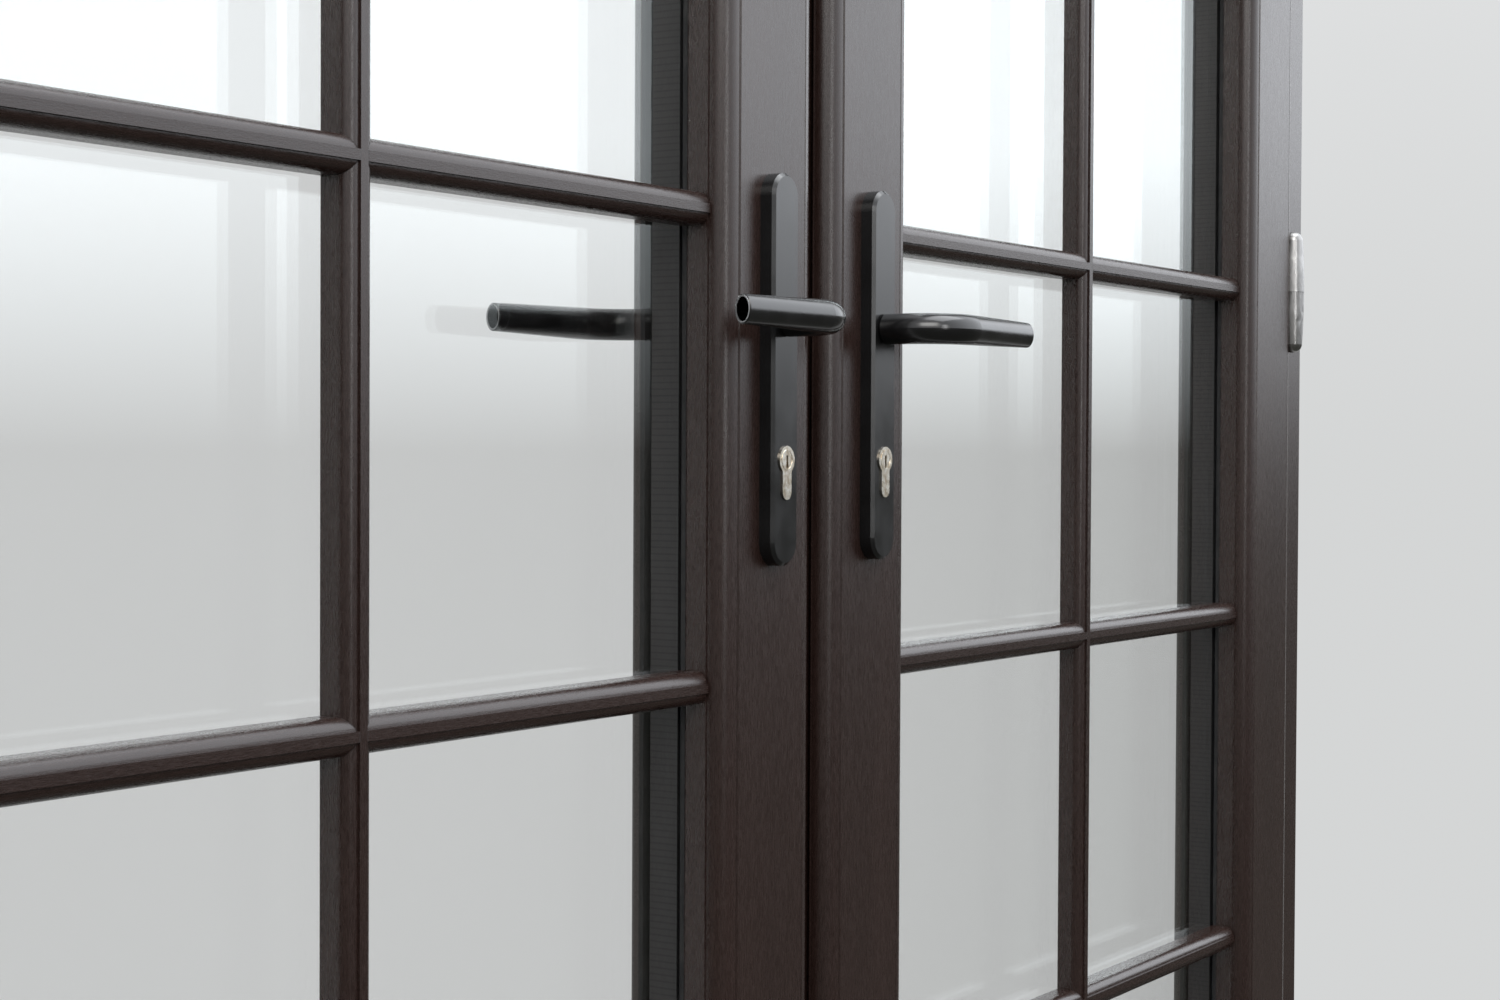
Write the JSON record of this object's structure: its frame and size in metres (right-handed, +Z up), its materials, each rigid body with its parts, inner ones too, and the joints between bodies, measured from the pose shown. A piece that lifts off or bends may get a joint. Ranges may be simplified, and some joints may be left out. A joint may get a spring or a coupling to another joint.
{
  "type": "french doors",
  "caption": "Pair of outward-opening glazed doors in their own frame, with surface glazing bars, long-plate lever handles, profile cylinders and butt hinges.",
  "frame": {"origin": "under the middle of the door set, on the lower face of the threshold, at the centre of the overall box", "axes": "+Z up, X along the wall from the left leaf to the right leaf as seen from outside, the outside faces -Y"},
  "size_m": [1.8, 0.198, 2.04],
  "materials": {
    "brown_foil": "satin dark brown wood-grain foil",
    "clear_glass": "clear float glass",
    "spacer_bar": "dark matt warm-edge bar",
    "black_gasket": "matt black",
    "hinge_coating": "satin dark brown powder coat",
    "black_handle": "semi-gloss black coating",
    "black_screw": "blackened steel",
    "nickel": "brushed warm nickel",
    "bright_steel": "galvanised steel"
  },
  "bodies": {
    "frame": {"jamb_left": "brown_foil", "jamb_right": "brown_foil", "threshold": "brown_foil", "head": "brown_foil", "flange_seal": "black_gasket", "stop_seal": "black_gasket", "bolt_keeps": "bright_steel", "hinge_brackets": "hinge_coating", "hinge_pins": "bright_steel"},
    "left_leaf": {"left_hinge_stile": "brown_foil", "left_meeting_stile": "brown_foil", "left_bottom_rail": "brown_foil", "left_top_rail": "brown_foil", "left_outer_pane": "clear_glass", "left_inner_pane": "clear_glass", "left_spacer": "spacer_bar", "left_gaskets": "black_gasket", "left_beads": "brown_foil", "left_upright_bar": "brown_foil", "left_cross_bars": "brown_foil", "left_hinge_flaps": "hinge_coating", "left_outer_backplate": "black_handle", "left_inner_backplate": "black_handle", "left_handle_screws": "black_screw", "left_cylinder": "nickel", "left_meeting_strip": "brown_foil", "left_faceplate": "bright_steel", "left_lock_case": "bright_steel"},
    "left_handle": {"left_outer_lever": "black_handle", "left_inner_lever": "black_handle", "left_spindle": "bright_steel"},
    "left_key": {"left_key_plugs": "nickel"},
    "right_leaf": {"right_hinge_stile": "brown_foil", "right_meeting_stile": "brown_foil", "right_bottom_rail": "brown_foil", "right_top_rail": "brown_foil", "right_outer_pane": "clear_glass", "right_inner_pane": "clear_glass", "right_spacer": "spacer_bar", "right_gaskets": "black_gasket", "right_beads": "brown_foil", "right_upright_bar": "brown_foil", "right_cross_bars": "brown_foil", "right_hinge_flaps": "hinge_coating", "right_outer_backplate": "black_handle", "right_inner_backplate": "black_handle", "right_handle_screws": "black_screw", "right_cylinder": "nickel", "right_meeting_strip": "brown_foil", "right_faceplate": "bright_steel", "right_lock_case": "bright_steel"},
    "right_handle": {"right_outer_lever": "black_handle", "right_inner_lever": "black_handle", "right_spindle": "bright_steel"},
    "right_key": {"right_key_plugs": "nickel"},
    "left_top_bolt": {"left_top_bolt": "bright_steel"},
    "left_bottom_bolt": {"left_bottom_bolt": "bright_steel"},
    "right_latch": {"right_latch": "bright_steel"},
    "right_deadbolt": {"right_deadbolt": "bright_steel"},
    "right_side_bolts": {"right_side_bolts": "bright_steel"}
  },
  "joints": [
    {"name": "left_leaf_swing", "type": "hinge", "parent": "frame", "child": "left_leaf", "pos_m": [-0.838, -0.033, 0.955], "axis": [0, 0, -1], "range_deg": [0, 100]},
    {"name": "left_lever_turn", "type": "hinge", "parent": "left_leaf", "child": "left_handle", "pos_m": [-0.061, 0, 0.955], "axis": [0, -1, 0], "range_deg": [-45, 40], "stiffness_Nm_per_rad": 6},
    {"name": "left_key_turn", "type": "hinge", "parent": "left_leaf", "child": "left_key", "pos_m": [-0.061, 0, 0.87], "axis": [0, 1, 0], "range_deg": [0, 360]},
    {"name": "right_leaf_swing", "type": "hinge", "parent": "frame", "child": "right_leaf", "pos_m": [0.838, -0.033, 0.955], "axis": [0, 0, 1], "range_deg": [0, 100]},
    {"name": "right_lever_turn", "type": "hinge", "parent": "right_leaf", "child": "right_handle", "pos_m": [0.061, 0, 0.955], "axis": [0, 1, 0], "range_deg": [-45, 40], "stiffness_Nm_per_rad": 6},
    {"name": "right_key_turn", "type": "hinge", "parent": "right_leaf", "child": "right_key", "pos_m": [0.061, 0, 0.87], "axis": [0, 1, 0], "range_deg": [0, 360]},
    {"name": "left_top_bolt_slide", "type": "slide", "parent": "left_leaf", "child": "left_top_bolt", "axis": [0, 0, 1], "range_m": [-0.0178, 0.02]},
    {"name": "left_bottom_bolt_slide", "type": "slide", "parent": "left_leaf", "child": "left_bottom_bolt", "axis": [0, 0, -1], "range_m": [-0.0178, 0.02]},
    {"name": "right_side_bolts_slide", "type": "slide", "parent": "right_leaf", "child": "right_side_bolts", "axis": [-1, 0, 0], "range_m": [-0.0145, 0.016]},
    {"name": "right_deadbolt_slide", "type": "slide", "parent": "right_leaf", "child": "right_deadbolt", "axis": [-1, 0, 0], "range_m": [0, 0.016]},
    {"name": "right_latch_slide", "type": "slide", "parent": "right_leaf", "child": "right_latch", "axis": [-1, 0, 0], "range_m": [0, 0.01]}
  ],
  "couplings": [
    {"joint": "left_top_bolt_slide", "follows": "left_lever_turn", "m_per_rad": -0.025464},
    {"joint": "left_bottom_bolt_slide", "follows": "left_lever_turn", "m_per_rad": -0.025464},
    {"joint": "right_side_bolts_slide", "follows": "right_lever_turn", "m_per_rad": -0.02037},
    {"joint": "right_key_turn", "follows": "right_deadbolt_slide", "rad_per_m": 392.69}
  ]
}
